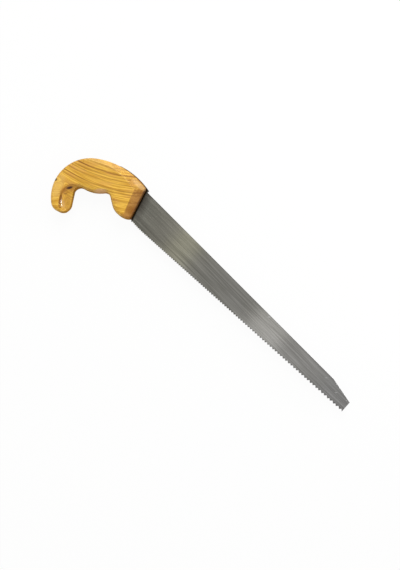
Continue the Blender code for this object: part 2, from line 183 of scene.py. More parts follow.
def grip_outline():
    """The handle's edge and its rims: from the front corner over the top, the hook and the finger gap."""
    inner_side = HOOK_LEAN - RIGHT_ANGLE
    throat_line = hook_centre + along(inner_side, HOOK_RADIUS + THROAT_RADIUS)
    throat = line_circle(throat_line, HOOK_LEAN, swell_centre, SWELL_RADIUS + THROAT_RADIUS, leaving=False)
    corner_line = leg_point + along(LEG_HEADING - RIGHT_ANGLE, CORNER_RADIUS)
    corner = line_circle(corner_line, LEG_HEADING, swell_centre, SWELL_RADIUS + CORNER_RADIUS, leaving=True)
    foot_line = leg_point + along(LEG_HEADING + RIGHT_ANGLE, FOOT_RADIUS)
    foot = line_line(foot_line, LEG_HEADING, Vector((0.0, FOOT_Y + FOOT_RADIUS)), 0.0)
    throat_side, corner_side = swell_centre - throat, swell_centre - corner
    foot_arc = arc(foot, FOOT_RADIUS, LEG_HEADING - RIGHT_ANGLE, -FOOT_SLOPE - RIGHT_ANGLE)
    foot_corner = line_line(foot_arc[-1], -FOOT_SLOPE, front_point, FRONT_HEADING)
    narrow, wide = RIM_RADIUS, FINGER_RIM_RADIUS
    stretches = (
        (arc(top_centre, TOP_RADIUS, front_angle, CROWN_ANGLE), narrow, narrow),
        (arc(BACK_CENTRE, BACK_RADIUS, CROWN_ANGLE, HOOK_ANGLE), narrow, narrow),
        (arc(hook_centre, HOOK_RADIUS, HOOK_ANGLE, inner_side + 4 * RIGHT_ANGLE), narrow, wide),
        (arc(throat, THROAT_RADIUS, HOOK_LEAN + RIGHT_ANGLE, angle_of(throat_side)), wide, wide),
        (arc(swell_centre, SWELL_RADIUS, angle_of(-throat_side), angle_of(-corner_side)), wide, wide),
        (arc(corner, CORNER_RADIUS, angle_of(corner_side), LEG_HEADING + RIGHT_ANGLE), wide, wide),
        (foot_arc, wide, narrow),
        ([foot_corner], narrow, narrow),
    )
    points, rims = [], []
    for stretch, first_rim, last_rim in stretches:
        for i, point in enumerate(stretch):
            if not points or (point - points[-1]).length > FIT / 10:
                points.append(point)
                rims.append(first_rim + (last_rim - first_rim) * i / len(stretch))
    return points, rims


def rounded_sections(points, rims):
    """The handle's sections from the lower cheek to the upper one, drawn in by each point's rim."""
    inwards = []
    for before, point, after in zip(points[-1:] + points[:-1], points, points[1:] + points[:1]):
        first, last = angle_of(point - before), angle_of(after - point)
        bisector = along(first + RIGHT_ANGLE) + along(last + RIGHT_ANGLE)
        inwards.append(bisector * 2 / bisector.length_squared)
    turns = [RIGHT_ANGLE * i / RIM_STEPS for i in range(RIM_STEPS + 1)]
    lower_half = [(-1, turn) for turn in reversed(turns)]
    upper_half = [(1, turn) for turn in turns]
    sections = []
    for side, turn in lower_half + upper_half:
        section = []
        for point, inward, rim in zip(points, inwards, rims):
            height = half_grip - LACQUER - rim * (1 - math.sin(turn))
            section.append((*(point + inward * rim * (1 - math.cos(turn))), height * side))
        sections.append(section)
    return sections


def facet_cutter(name, stations, slope, side):
    """What a facet takes off one cheek: at each station an edge point, the way out and the width."""
    sections = []
    for edge, outwards, width in stations:
        inner = edge - outwards * (width + OVERSHOOT)
        outer = edge + outwards * OVERSHOOT
        over = half_grip + OVERSHOOT * math.tan(slope)
        under = half_grip - (width + OVERSHOOT) * math.tan(slope)
        sections.append(((*inner, over * side), (*outer, under * side), (*outer, over * side)))
    return loft(name, sections)


def top_facet_stations():
    """The facet along the top, widest at the front corner and gone behind the crown."""
    first = front_angle - OVERSHOOT / TOP_RADIUS
    count = math.ceil((TOP_FACET_END - first) / ARC_STEP)
    stations = []
    for i in range(count + 1):
        angle = first + (TOP_FACET_END - first) * i / count
        width = TOP_FACET_WIDTH * (TOP_FACET_END - angle) / (TOP_FACET_END - front_angle)
        stations.append((top_centre + along(angle, TOP_RADIUS), along(angle), width))
    return stations


def front_facet_stations(foot_corner):
    """The facet behind the blade, from past the front corner to past the foot."""
    drop = (foot_corner - front_top).length
    top_width, foot_width = FRONT_FACET_WIDTHS
    stations = []
    for run in (-OVERSHOOT, drop + OVERSHOOT):
        width = top_width + (foot_width - top_width) * run / drop
        stations.append((front_top - along(FRONT_HEADING, run), along(FRONT_HEADING - RIGHT_ANGLE), width))
    return stations


def turned_body(name, profile, steps):
    """A profile of radius and height, spun round Z."""
    bm = bmesh.new()
    corners = [bm.verts.new((radius, 0.0, height)) for radius, height in profile]
    edges = [bm.edges.new(pair) for pair in zip(corners, corners[1:])]
    turn = {"angle": math.tau, "steps": steps, "axis": (0.0, 0.0, 1.0), "cent": (0.0, 0.0, 0.0)}
    bmesh.ops.spin(bm, geom=corners + edges, **turn)
    bmesh.ops.remove_doubles(bm, verts=bm.verts, dist=1e-6)
    return new_piece(name, bm)


def scoop_cutter(name, side):
    """The round-cornered cutter that hollows one cheek at the throat."""
    floor = half_grip - SCOOP_DEPTH
    flat = SCOOP_RADIUS - math.sqrt(SCOOP_CORNER ** 2 - (SCOOP_CORNER - SCOOP_DEPTH) ** 2)
    roof = half_grip + OVERSHOOT
    corner = arc(Vector((flat, floor + SCOOP_CORNER)), SCOOP_CORNER, -RIGHT_ANGLE, 0.0)
    profile = [(0.0, floor), *corner, (flat + SCOOP_CORNER, roof), (0.0, roof)]
    scoop = turned_body(name, [(radius, height * side) for radius, height in profile], SCOOP_STEPS)
    scoop.data.transform(Matrix.Translation((*SCOOP, 0.0)) @ Matrix.Diagonal((1.0, SCOOP_STRETCH, 1.0, 1.0)))
    return scoop


def flat_body(name, points, half_thickness):
    """A flat outline with a thickness."""
    sections = [[(*point, height) for point in points] for height in (-half_thickness, half_thickness)]
    return loft(name, sections)


grip_points, grip_rims = grip_outline()
handle = loft("grip", rounded_sections(grip_points, grip_rims))
top_stations = top_facet_stations()
front_stations = front_facet_stations(grip_points[-1])
shaping = []
for side, cheek in ((1, "upper"), (-1, "lower")):
    shaping.append(facet_cutter(f"top_facet_{cheek}", top_stations, TOP_FACET_SLOPE, side))
    shaping.append(facet_cutter(f"front_facet_{cheek}", front_stations, FRONT_FACET_SLOPE, side))
    shaping.append(scoop_cutter(f"scoop_{cheek}", side))
carve(handle, shaping)
rebuilt = handle.modifiers.new("rebuilt", "REMESH")
rebuilt.mode = "VOXEL"
rebuilt.voxel_size = WOOD_CELL
sanded = handle.modifiers.new("sanded", "SMOOTH")
sanded.factor = 0.5
sanded.iterations = SANDING_PASSES
settle(handle)
handle.data.transform(Matrix.Translation((0.0, 0.0, half_grip)) @ Matrix.Rotation(GRIP_HANG, 4, "Z"))

SCREWS = ("screw_front_lower", "screw_front_upper", "screw_rear")
SCREW_RADIUS = 0.0020
SCREW_HEAD_RADIUS = 0.0040
SCREW_HEAD_RIM = 0.0004
SCREW_HEAD_CONE = 0.0020
SCREW_POINT = 0.0040
SCREW_TIP_RADIUS = 0.0004
SCREW_STEPS = 24
BLADE_THICKNESS = 0.0012
TANG_LENGTH = 0.0485
TANG_FRONT_DEPTH = 0.0380
TANG_REAR_DEPTH = 0.0240
TANG_CORNER_RADIUS = 0.0080
blade_place = Matrix.Translation((*BLADE_ORIGIN, half_grip))


def tang_underside(clearance):
    """The tang's rear end and lower edge, in the blade's axes, from the rear end's top to the front face."""
    rear = Vector((-TANG_LENGTH, -TANG_REAR_DEPTH))
    front = Vector((TANG_FRONT_DEPTH * math.tan(FRONT_LEAN), -TANG_FRONT_DEPTH))
    heading = angle_of(front - rear)
    turn = heading + RIGHT_ANGLE
    reach = TANG_CORNER_RADIUS * math.tan(turn / 2)
    centre = rear + along(heading, reach) + along(turn, TANG_CORNER_RADIUS)
    points = arc(centre, TANG_CORNER_RADIUS + clearance, math.pi, turn + math.pi)
    points.append(front - along(turn, clearance))
    return points


def kerf_outline():
    """The slot for the tang, open above it and in front of it."""
    points = tang_underside(FIT)
    roof = BLADE_ORIGIN.y + TOP_RADIUS
    points.append(points[-1] + along(angle_of(points[-1] - points[-2]), 2 * OVERSHOOT))
    points.append(Vector((points[-1].x, roof)))
    points.append(Vector((points[0].x, roof)))
    return points


def screw_profile(clearance, tip, flat):
    """Radius and height of a countersunk screw, from its tip down to its head's flat."""
    shank = SCREW_RADIUS + clearance
    head = SCREW_HEAD_RADIUS + clearance
    rim = FIT + SCREW_HEAD_RIM
    return [
        (0.0, tip + clearance),
        (SCREW_TIP_RADIUS + clearance, tip + clearance),
        (shank, tip + clearance - SCREW_POINT),
        (shank, rim + SCREW_HEAD_CONE),
        (head, rim),
        (head, flat),
        (0.0, flat),
    ]


def screw_foot(name):
    """The point of the floor under a screw."""
    low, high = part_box(name)
    return Vector(((low.x + high.x) / 2, (low.y + high.y) / 2, 0.0))


def screw_holes():
    """Cutters for the screws' holes, open below the wood."""
    holes = []
    for name in SCREWS:
        profile = screw_profile(FIT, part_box(name)[1].z, -OVERSHOOT)
        hole = turned_body(name + "_hole", profile, SCREW_STEPS)
        hole.data.transform(Matrix.Translation(screw_foot(name)))
        holes.append(hole)
    return holes


kerf = flat_body("kerf", kerf_outline(), BLADE_THICKNESS / 2 + FIT)
kerf.data.transform(blade_place)
carve(handle, [kerf, *screw_holes()])
handle.data.shade_smooth()
handle.data.set_sharp_from_angle(angle=CRISP_ANGLE)

MM = 1000.0                         # millimetres in a metre
GRAIN_SWEEP = (0.37, 1.0, 0.25)     # how the rings lie along, across and through the board
GRAIN_BOW = -0.0027                 # and how they bow towards the butt, for each millimetre squared
GRAIN_HEADING = math.radians(28)    # the grain's direction from the blade's back
HOOK_X_MM = (-40.0, -50.0)          # where the hook's short cross grain sets in, along the grip
HOOK_Y_MM = (-6.0, -20.0)           # and down the hook
FRONT_X_MM = (30.0, 40.0)           # where the front begins, along the grip
# The wood is drawn darker towards its front face, and nearly black at the face as painted shade.
FRONT_DARKENING = (       # where the front's browning and its burn begin and are full in mm, strength and colour
    ((-10.2, -3.2), 0.36, "#6a3404"),
    ((-3.0, -0.9), 1.0, "#2a160a"),
)
FRONT_DARKENING_LOSS = 0.02                    # and how much less far they reach lower down, for each mm
RING_RANGE_MM = (-100.0, 30.0)
RINGS = (       # places of the dark rings in mm, and their darkness
    (-67, 0.3), (-48, 0.6), (-28, 0.4), (-17.5, 0.5), (-13.5, 0.7), (-5.5, 0.5),
    (-0.5, 0.5), (3.2, 0.6), (7.8, 1.0), (15.7, 0.4),
)
# Pale wood along the top: partly sapwood, partly painted light where the top and its facet face the lamp.
SAPWOOD_AND_LIGHT_MM = (10.0, 18.0)           # where the pale wood under the bark begins, and is full
RING_RISE_MM = 1.9
RING_FALL_MM = 1.2
RING_WANDER_MM = 1.6
PATTERNS_MM = (         # lengths, widths and detail
    ("wander", 30.0, 12.0, 2.0), ("fibre", 40.0, 1.8, 3.0),
    ("pores", 9.0, 0.6, 1.0), ("cloud", 22.0, 8.0, 2.0),
)
# Some of these marks are painted shade and one is a painted sheen, as noted at each.
MARKS_AND_PAINTED_LIGHT = (       # place and half size in mm, turn, colour and strength of the pale and dark marks
    ((-52.0, -16.0), (22.0, 9.0), 70, "#ecc46e", 0.40),
    # painted shade: the hook's end darker, where its hollow lies in shade
    ((-42.0, -38.0), (15.0, 9.0), 78, "#b07c2c", 0.45),
    # the brown round the knot, partly painted shade on the hollow's steep upper wall
    ((-38.0, -19.0), (15.0, 7.0), 17, "#ac6c20", 0.45),
    # painted shade: the hollow's steep wall along its crease, upper and lower part
    ((-44.6, -21.5), (9.0, 3.0), 39, "#985c18", 0.45),
    ((-49.4, -34.5), (12.0, 2.0), 82, "#7a4812", 0.85),
    ((-37.4, -17.8), (6.0, 3.2), 17, "#d09a40", 0.75),
    ((-37.2, -17.6), (5.6, 2.0), 17, "#4a2406", 1.0),
    ((-43.4, -25.6), (3.0, 1.2), 17, "#8a5a20", 0.60),
    ((-55.0, -7.2), (2.6, 2.0), 60, "#3a2408", 0.90),
    ((-49.4, -44.6), (2.0, 1.0), 60, "#6a3c18", 0.80),
    ((37.0, -55.7), (6.0, 2.6), -25, "#a0682a", 0.55),
    # painted sheen: a pale pinkish patch on the swell's lower rim
    ((5.0, -22.2), (11.0, 3.6), 4, "#dcae80", 0.60),
    ((57.2, -13.2), (13.0, 4.6), -42, "#f2cc94", 0.32),
)
LACQUER_RUN_MM = (-47.4, -39.2)     # where the lacquer pooled in the finger hollow
LACQUER_RUN_SIZE_MM = (3.4, 6.2)    # and half its size
DRY_SHEEN = 0.15                    # specular level away from it


def linear(hex_colour):
    """An sRGB hex colour, in linear light."""
    channels = [int(hex_colour[i:i + 2], 16) / 255 for i in (1, 3, 5)]
    return [c / 12.92 if c <= 0.04045 else ((c + 0.055) / 1.055) ** 2.4 for c in channels] + [1.0]


def add_node(tree, kind, inputs=None, **settings):
    """Add a node, with its settings, and with each input given a value or a link."""
    node = tree.nodes.new(kind)
    for name, value in settings.items():
        setattr(node, name, value)
    for key, value in (inputs or {}).items():
        if isinstance(value, bpy.types.NodeSocket):
            tree.links.new(value, node.inputs[key])
        else:
            node.inputs[key].default_value = value
    return node


def mark(tree, surface_mm, place, half_size, turn, core, strength):
    """How strongly an oval mark shows: in full in its core, and not at all past its edge."""
    placed = add_node(tree, "ShaderNodeMapping", {
        "Vector": surface_mm, "Location": (*place, 0.0), "Rotation": (0.0, 0.0, turn),
        "Scale": (*half_size, 1.0)}, vector_type="TEXTURE").outputs[0]
    distance = add_node(tree, "ShaderNodeVectorMath", {0: placed}, operation="LENGTH").outputs[1]
    return add_node(tree, "ShaderNodeMapRange", {
        "Value": distance, "From Min": 1.0, "From Max": core, "To Max": strength}).outputs[0]


# Elm, sanded and lacquered: golden wood with brown rings that sweep along the grip, cross grain on the hook,
# and pale and dark marks round a knot above the finger hollow, among them painted shade in the hollow and a
# painted sheen on the swell. The pale wood along the top is partly sapwood and partly painted light. Where
# the grain ends at the front it has drunk the lacquer, and is dull and brown; it is drawn darker towards the
# face, and nearly black at the face as painted shade. The rims are painted darker as shade and have lost
# their gloss, which is deepest in the finger hollow, where the lacquer pooled.
elm = bpy.data.materials.new("sanded_and_lacquered_elm")
elm.use_nodes = True
tree = elm.node_tree
shader = tree.nodes["Principled BSDF"]
spaces = add_node(tree, "ShaderNodeTexCoord").outputs
grip_mm = add_node(tree, "ShaderNodeMapping", {
    "Vector": spaces["Object"], "Rotation": (0.0, 0.0, -GRIP_HANG), "Scale": (MM, MM, MM)}).outputs[0]
grip_x, grip_y, grip_z = add_node(tree, "ShaderNodeSeparateXYZ", {0: grip_mm}).outputs
down_hook = add_node(tree, "ShaderNodeMapRange", {
    "Value": grip_y, "From Min": HOOK_Y_MM[0], "From Max": HOOK_Y_MM[1]},
    interpolation_type="SMOOTHSTEP").outputs[0]
hook = add_node(tree, "ShaderNodeMapRange", {
    "Value": grip_x, "From Min": HOOK_X_MM[0], "From Max": HOOK_X_MM[1], "To Max": down_hook},
    interpolation_type="SMOOTHSTEP").outputs[0]
sweep = add_node(tree, "ShaderNodeVectorMath", {0: grip_mm, 1: GRAIN_SWEEP},
                 operation="DOT_PRODUCT").outputs[1]
square = add_node(tree, "ShaderNodeMath", {0: grip_x, 1: grip_x}, operation="MULTIPLY").outputs[0]
bowed = add_node(tree, "ShaderNodeMath", {0: square, 1: GRAIN_BOW, 2: sweep},
                 operation="MULTIPLY_ADD").outputs[0]
across = add_node(tree, "ShaderNodeMath", {0: bowed, 1: GRAIN_SWEEP[2] * grip_thickness * MM},
                  operation="SUBTRACT").outputs[0]
to_cross = add_node(tree, "ShaderNodeMath", {0: grip_y, 1: across}, operation="SUBTRACT").outputs[0]
layers = add_node(tree, "ShaderNodeMath", {0: to_cross, 1: hook, 2: across},
                  operation="MULTIPLY_ADD").outputs[0]
grain = add_node(tree, "ShaderNodeCombineXYZ", {0: grip_x, 1: layers, 2: grip_z}).outputs[0]
patterns = {}
for name, length_mm, width_mm, detail in PATTERNS_MM:
    stretch = (1 / length_mm, 1 / width_mm, 1 / width_mm)
    stretched = add_node(tree, "ShaderNodeVectorMath", {0: grain, 1: stretch},
                         operation="MULTIPLY").outputs[0]
    patterns[name] = add_node(tree, "ShaderNodeTexNoise", {
        "Vector": stretched, "Scale": 1.0, "Detail": detail, "Roughness": 0.55}).outputs["Fac"]
wandering = add_node(tree, "ShaderNodeMath", {0: patterns["wander"], 1: RING_WANDER_MM, 2: across},
                     operation="MULTIPLY_ADD").outputs[0]
ring_place = add_node(tree, "ShaderNodeMapRange", {
    "Value": wandering, "From Min": RING_RANGE_MM[0] + RING_WANDER_MM / 2,
    "From Max": RING_RANGE_MM[1] + RING_WANDER_MM / 2}).outputs[0]
rings = add_node(tree, "ShaderNodeValToRGB", {"Fac": ring_place})
rings.color_ramp.elements[1].color = rings.color_ramp.elements[0].color
for place, darkness in RINGS:
    for offset, shade in ((-RING_RISE_MM, 0.0), (0.0, darkness), (RING_FALL_MM, 0.0)):
        share = (place + offset - RING_RANGE_MM[0]) / (RING_RANGE_MM[1] - RING_RANGE_MM[0])
        rings.color_ramp.elements.new(share).color = (shade, shade, shade, 1.0)
straight = add_node(tree, "ShaderNodeMapRange", {"Value": hook, "To Min": 0.9, "To Max": 0.1}).outputs[0]
ring_shade = add_node(tree, "ShaderNodeMath", {0: rings.outputs[0], 1: straight},
                      operation="MULTIPLY").outputs[0]
fibres = add_node(tree, "ShaderNodeMapRange", {
    "Value": patterns["fibre"], "From Min": 0.37, "From Max": 0.61}).outputs[0]
colour = add_node(tree, "ShaderNodeMixRGB", {
    "Fac": fibres, "Color1": linear("#c48c1e"), "Color2": linear("#f4c34c")}).outputs[0]
# paler along the top: sapwood and painted light together
sapwood_and_light = add_node(tree, "ShaderNodeMapRange", {
    "Value": across, "From Min": SAPWOOD_AND_LIGHT_MM[0], "From Max": SAPWOOD_AND_LIGHT_MM[1], "To Max": 0.25}).outputs[0]
clouds = add_node(tree, "ShaderNodeMapRange", {
    "Value": patterns["cloud"], "From Min": 0.50, "From Max": 0.75, "To Max": 0.6}).outputs[0]
for share, shade in ((sapwood_and_light, "#e2b878"), (clouds, "#d79a52")):
    colour = add_node(tree, "ShaderNodeMixRGB", {
        "Fac": share, "Color1": colour, "Color2": linear(shade)}).outputs[0]
facing = add_node(tree, "ShaderNodeVectorMath", {0: spaces["Normal"], 1: (*along(GRAIN_HEADING), 0.0)},
                  operation="DOT_PRODUCT").outputs[1]
facing = add_node(tree, "ShaderNodeMath", {0: facing}, operation="ABSOLUTE").outputs[0]
at_front = add_node(tree, "ShaderNodeMapRange", {
    "Value": grip_x, "From Min": FRONT_X_MM[0], "From Max": FRONT_X_MM[1]}).outputs[0]
end_grain = add_node(tree, "ShaderNodeMapRange", {
    "Value": facing, "From Min": 0.15, "From Max": 0.65, "To Max": at_front}).outputs[0]
blotches = add_node(tree, "ShaderNodeMapRange", {
    "Value": patterns["cloud"], "From Min": 0.40, "From Max": 0.62}).outputs[0]
soaked = add_node(tree, "ShaderNodeMixRGB", {
    "Fac": blotches, "Color1": linear("#895218"), "Color2": linear("#b27f3f")}).outputs[0]
colour = add_node(tree, "ShaderNodeMixRGB", {
    "Fac": end_grain, "Color1": colour, "Color2": soaked}).outputs[0]
pores = add_node(tree, "ShaderNodeMapRange", {
    "Value": patterns["pores"], "From Min": 0.40, "From Max": 0.30, "To Max": 0.4}).outputs[0]
for share, shade in ((ring_shade, "#9a7a3c"), (pores, "#b09468")):
    colour = add_node(tree, "ShaderNodeMixRGB", {
        "Fac": share, "Color1": colour, "Color2": linear(shade)}, blend_type="MULTIPLY").outputs[0]
forwards = along(FRONT_HEADING - RIGHT_ANGLE)
front_darkening_run = (forwards.x, forwards.y + FRONT_DARKENING_LOSS, 0.0)
to_front = add_node(tree, "ShaderNodeVectorMath", {0: grip_mm, 1: front_darkening_run},
                    operation="DOT_PRODUCT").outputs[1]
front_mm = front_point.dot(forwards) * MM
# darker towards the front face, and painted shade, nearly black, at the face
for (begin, full), strength, shade in FRONT_DARKENING:
    front_darkened = add_node(tree, "ShaderNodeMapRange", {
        "Value": to_front, "From Min": front_mm + begin, "From Max": front_mm + full,
        "To Max": strength}).outputs[0]
    colour = add_node(tree, "ShaderNodeMixRGB", {
        "Fac": front_darkened, "Color1": colour, "Color2": linear(shade)}).outputs[0]
upright = add_node(tree, "ShaderNodeSeparateXYZ", {0: spaces["Normal"]}).outputs[2]
upright = add_node(tree, "ShaderNodeMath", {0: upright}, operation="ABSOLUTE").outputs[0]
# Painted shade: rims and walls that turn away from level are drawn darker brown.
painted_edge_shade = add_node(tree, "ShaderNodeMapRange", {
    "Value": upright, "From Min": 0.05, "From Max": 0.95, "To Min": 0.6, "To Max": 0.0},
    interpolation_type="SMOOTHSTEP").outputs[0]
colour = add_node(tree, "ShaderNodeMixRGB", {
    "Fac": painted_edge_shade, "Color1": colour, "Color2": linear("#7a4e12")}).outputs[0]
level = add_node(tree, "ShaderNodeCombineXYZ", {0: grip_x, 1: grip_y}).outputs[0]
# the marks, among them painted shade in the hollow and a painted sheen on the swell
for place, half_size, turn, shade, strength in MARKS_AND_PAINTED_LIGHT:
    mark_or_painted_light = mark(tree, level, place, half_size, math.radians(turn), core=0.5, strength=strength)
    colour = add_node(tree, "ShaderNodeMixRGB", {
        "Fac": mark_or_painted_light, "Color1": colour, "Color2": linear(shade)}).outputs[0]
tree.links.new(colour, shader.inputs["Base Color"])
unworn = add_node(tree, "ShaderNodeMapRange", {"Value": upright, "From Min": 0.1, "From Max": 0.7}).outputs[0]
pooled = mark(tree, level, LACQUER_RUN_MM, LACQUER_RUN_SIZE_MM, turn=0.0, core=0.7, strength=1.0)
gloss = add_node(tree, "ShaderNodeMapRange", {"Value": unworn, "To Min": 0.05, "To Max": 0.5}).outputs[0]
gloss = add_node(tree, "ShaderNodeMapRange", {
    "Value": end_grain, "To Min": gloss, "To Max": 0.15}).outputs[0]
gloss = add_node(tree, "ShaderNodeMapRange", {"Value": pooled, "To Min": gloss, "To Max": 1.0}).outputs[0]
tree.links.new(gloss, shader.inputs["Coat Weight"])
sheen = add_node(tree, "ShaderNodeMapRange", {"Value": unworn, "To Max": DRY_SHEEN}).outputs[0]
sheen = add_node(tree, "ShaderNodeMapRange", {"Value": pooled, "To Min": sheen, "To Max": 1.0}).outputs[0]
shader.inputs["Specular IOR Level"].default_value = DRY_SHEEN       # what is left where the link is dropped
tree.links.new(sheen, shader.inputs["Specular IOR Level"])
rough = add_node(tree, "ShaderNodeMapRange", {"Value": pooled, "To Min": 0.45, "To Max": 0.20}).outputs[0]
tree.links.new(rough, shader.inputs["Roughness"])
shader.inputs["Coat Roughness"].default_value = 0.38
uneven = add_node(tree, "ShaderNodeBump", {
    "Height": patterns["fibre"], "Strength": 0.3, "Distance": 0.0002}).outputs[0]
tree.links.new(uneven, shader.inputs["Normal"])
handle.data.materials.clear()
handle.data.materials.append(elm)
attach(handle, "root")
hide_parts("handle")

# Blade: one sheet of spring steel, sheared to a taper with a slanted nose, its flanks ground lengthwise. The
# teeth are filed from both sides, grow towards the nose and lean out to left and right in turn. Its tang is
# pushed into the handle's kerf, stands a little out of the wood's top, and is held by the three screws.
BLADE_LENGTH = 0.4060
HEEL_WIDTH = 0.0461
NOSE_WIDTH = 0.0237
NOSE_CUT = 0.0395
NOSE_DROP = 0.0073
NOSE_REACH = 0.0010
TANG_PROUD = 0.0012
TANG_SHOULDER = 0.0035
HEEL_PITCH = 0.0030
NOSE_PITCH = 0.0056
TOOTH_ANGLE = math.radians(90)
TOOTH_SET = 0.00035
TOOTH_FLEAM = math.radians(18)      # slant of the file across the blade
HEEL_RISE = 0.0019                  # how far the edge runs up at the heel, to meet the wood's foot
HEEL_RUN = 0.0250                   # and how far from the heel that begins
EDGE_BREAK = 0.00025                # width of the chamfer on the back and the nose

tips_lean = math.atan2(HEEL_WIDTH - NOSE_WIDTH, BLADE_LENGTH)
nose_corner = Vector((BLADE_LENGTH, -NOSE_WIDTH))
heel_front = Vector((FIT / math.cos(FRONT_LEAN), 0.0))
heel = line_line(nose_corner, tips_lean, heel_front, RIGHT_ANGLE + FRONT_LEAN)
edge_length = (nose_corner - heel).length
growth = (NOSE_PITCH - HEEL_PITCH) / edge_length
tooth_count = round(math.log(NOSE_PITCH / HEEL_PITCH) / math.log(1 + growth))
tooth_ratio = (NOSE_PITCH / HEEL_PITCH) ** (1 / tooth_count)


def along_edge(tooth):
    """Length along the edge at a tooth's number: whole at a gullet, and a half more at a tip."""
    return edge_length * (tooth_ratio ** tooth - 1) / (tooth_ratio ** (tooth_count + 0.5) - 1)


def gullet_point(tooth):
    """The bottom of a gullet, in the blade's axes."""
    pitch = along_edge(tooth + 0.5) - along_edge(tooth - 0.5)
    depth = pitch / 2 / math.tan(TOOTH_ANGLE / 2)
    return heel + along(tips_lean, along_edge(tooth)) + along(tips_lean + RIGHT_ANGLE, depth)


gullets = [gullet_point(tooth) for tooth in range(tooth_count + 1)]
gullet_heading = angle_of(gullets[-1] - gullets[0])
inwards = along(gullet_heading + RIGHT_ANGLE)
for tooth in range(tooth_count):
    nearness = max(0.0, 1 - along_edge(tooth) / HEEL_RUN)
    gullets[tooth] += inwards * HEEL_RISE * nearness ** 2
gullets[0] = line_line(gullets[0], gullet_heading, heel_front, RIGHT_ANGLE + FRONT_LEAN)
top_round = along(angle_of(top_centre) + GRIP_HANG, top_centre.length) - BLADE_ORIGIN
proud_radius = TOP_RADIUS + TANG_PROUD
proud_front = math.acos((TANG_SHOULDER - top_round.x) / proud_radius)
proud_rear = math.acos((-TANG_LENGTH - top_round.x) / proud_radius)
back = [
    nose_corner,
    Vector((BLADE_LENGTH - NOSE_REACH, -NOSE_DROP)),
    Vector((BLADE_LENGTH - NOSE_CUT, 0.0)),
    Vector((TANG_SHOULDER, 0.0)),
]
tang = arc(top_round, proud_radius, proud_front, proud_rear) + tang_underside(0.0)[:-1]
tang.append(Vector((TANG_FRONT_DEPTH * math.tan(FRONT_LEAN), -TANG_FRONT_DEPTH)) + heel_front)

bm = bmesh.new()
seat_of = bm.faces.layers.int.new("tooth")
lower, upper = [], []
for ring, height in ((lower, -BLADE_THICKNESS / 2), (upper, BLADE_THICKNESS / 2)):
    for i, gullet in enumerate(gullets):
        slant = height * math.tan(TOOTH_FLEAM) * (-1 if i % 2 else 1)
        ring.append(bm.verts.new((*(gullet + along(gullet_heading, slant)), height)))
    for point in back + tang:
        ring.append(bm.verts.new((*point, height)))
bm.faces.new(upper)
bm.faces.new(reversed(lower))
for i in range(len(lower)):
    j = (i + 1) % len(lower)
    wall = bm.faces.new((lower[i], lower[j], upper[j], upper[i]))
    wall[seat_of] = i + 1 if i < tooth_count else 0
broken = []
for ring in (lower, upper):
    first = len(gullets)
    for i in range(first, first + len(back) - 1):
        broken.append(bm.edges.get((ring[i], ring[i + 1])))
bmesh.ops.bevel(bm, geom=broken, offset=EDGE_BREAK, segments=2, profile=0.5, affect="EDGES")
blade = new_piece("ground_blade", bm)

# Spring steel, ground lengthwise: grey metal with streaks along the blade and a soft sheen that spreads
# across them. It is painted darker and warmer towards the handle as the handle's shade, is drawn darker along
# the teeth and the back, and has a few bright scuffs. Ahead of the wood it is brown, partly a stain and
# partly painted shadow of the handle and painted reflection of the wood, and the tang keeps its black scale,
# which runs on past the wood's face as painted shadow, and rusts along its top. The wheel's streaks are a
# tenth of a millimetre wide, and are drawn coarser here to show.
STREAKS_MM = (("fine", 60.0, 1.4), ("bloom", 45.0, 30.0))      # lengths and widths
# Painted shade along the blade: darker and warmer towards the handle, where the handle shades it.
PAINTED_SHADE_TONES = (       # its colour along the blade, by mm from the wood
    (20, "#9a988e"), (70, "#b0ada2"), (150, "#bcbab3"), (320, "#d0cecb"), (372, "#c3c2c1"),
)
SCUFFS_MM = ((358.0, -6.0), (382.0, -10.8), (243.0, -2.4))      # places in the blade's axes
SCUFF_SIZE_MM = (3.2, 0.6)          # half their length and width
SCUFF_TURN = math.radians(45)
# The steel is drawn darker along the teeth and along the back.
EDGE_DARKENING_MM = (0.6, -0.4)          # where the oil along the teeth begins and is full, in from the gullets
BACK_DARKENING_MM = (-1.6, -0.3)         # and along the back, from its line
# The tang's black scale; where it runs past the wood's face onto the blade it is painted shadow of the
# handle.
SCALE_AND_SHADOW_MM = (1.3, 2.8)               # where the tang's black scale begins to thin, and has worn off
SCALE_AND_SHADOW_GROWTH = 0.015                # and how much more of it is left lower down, for each mm
SCALE_AND_SHADOW_FOOT_MM = (-1.5, 1.0)         # where it ends and is full, above the wood's foot
RUST_MM = (-3.0, -0.5)              # where the rust along the tang's top begins to fade, and has gone
# Partly a brown stain, partly painted shadow of the handle and painted reflection of the wood on the steel.
STAIN_AND_SHADOW_MM = (2.0, 14.0)              # where the brown stain from the wood begins to fade, and has gone
STAIN_AND_SHADOW_FOOT_MM = (-1.5, 20.0)        # and where it ends and is full, above the wood's foot
steel = bpy.data.materials.new("spring_steel_ground_lengthwise")
steel.use_nodes = True
tree = steel.node_tree
shader = tree.nodes["Principled BSDF"]
spaces = add_node(tree, "ShaderNodeTexCoord").outputs
blade_mm = add_node(tree, "ShaderNodeMapping", {
    "Vector": spaces["Object"], "Location": [-MM * c for c in blade_place.translation],
    "Scale": (MM, MM, MM)}).outputs[0]
streaks = {}
for name, length_mm, width_mm in STREAKS_MM:
    stretch = (1 / length_mm, 1 / width_mm, 1 / width_mm)
    stretched = add_node(tree, "ShaderNodeVectorMath", {0: blade_mm, 1: stretch},
                         operation="MULTIPLY").outputs[0]
    streaks[name] = add_node(tree, "ShaderNodeTexNoise", {
        "Vector": stretched, "Scale": 1.0, "Detail": 3.0}).outputs["Fac"]
blade_x, blade_y = add_node(tree, "ShaderNodeSeparateXYZ", {0: blade_mm}).outputs[:2]
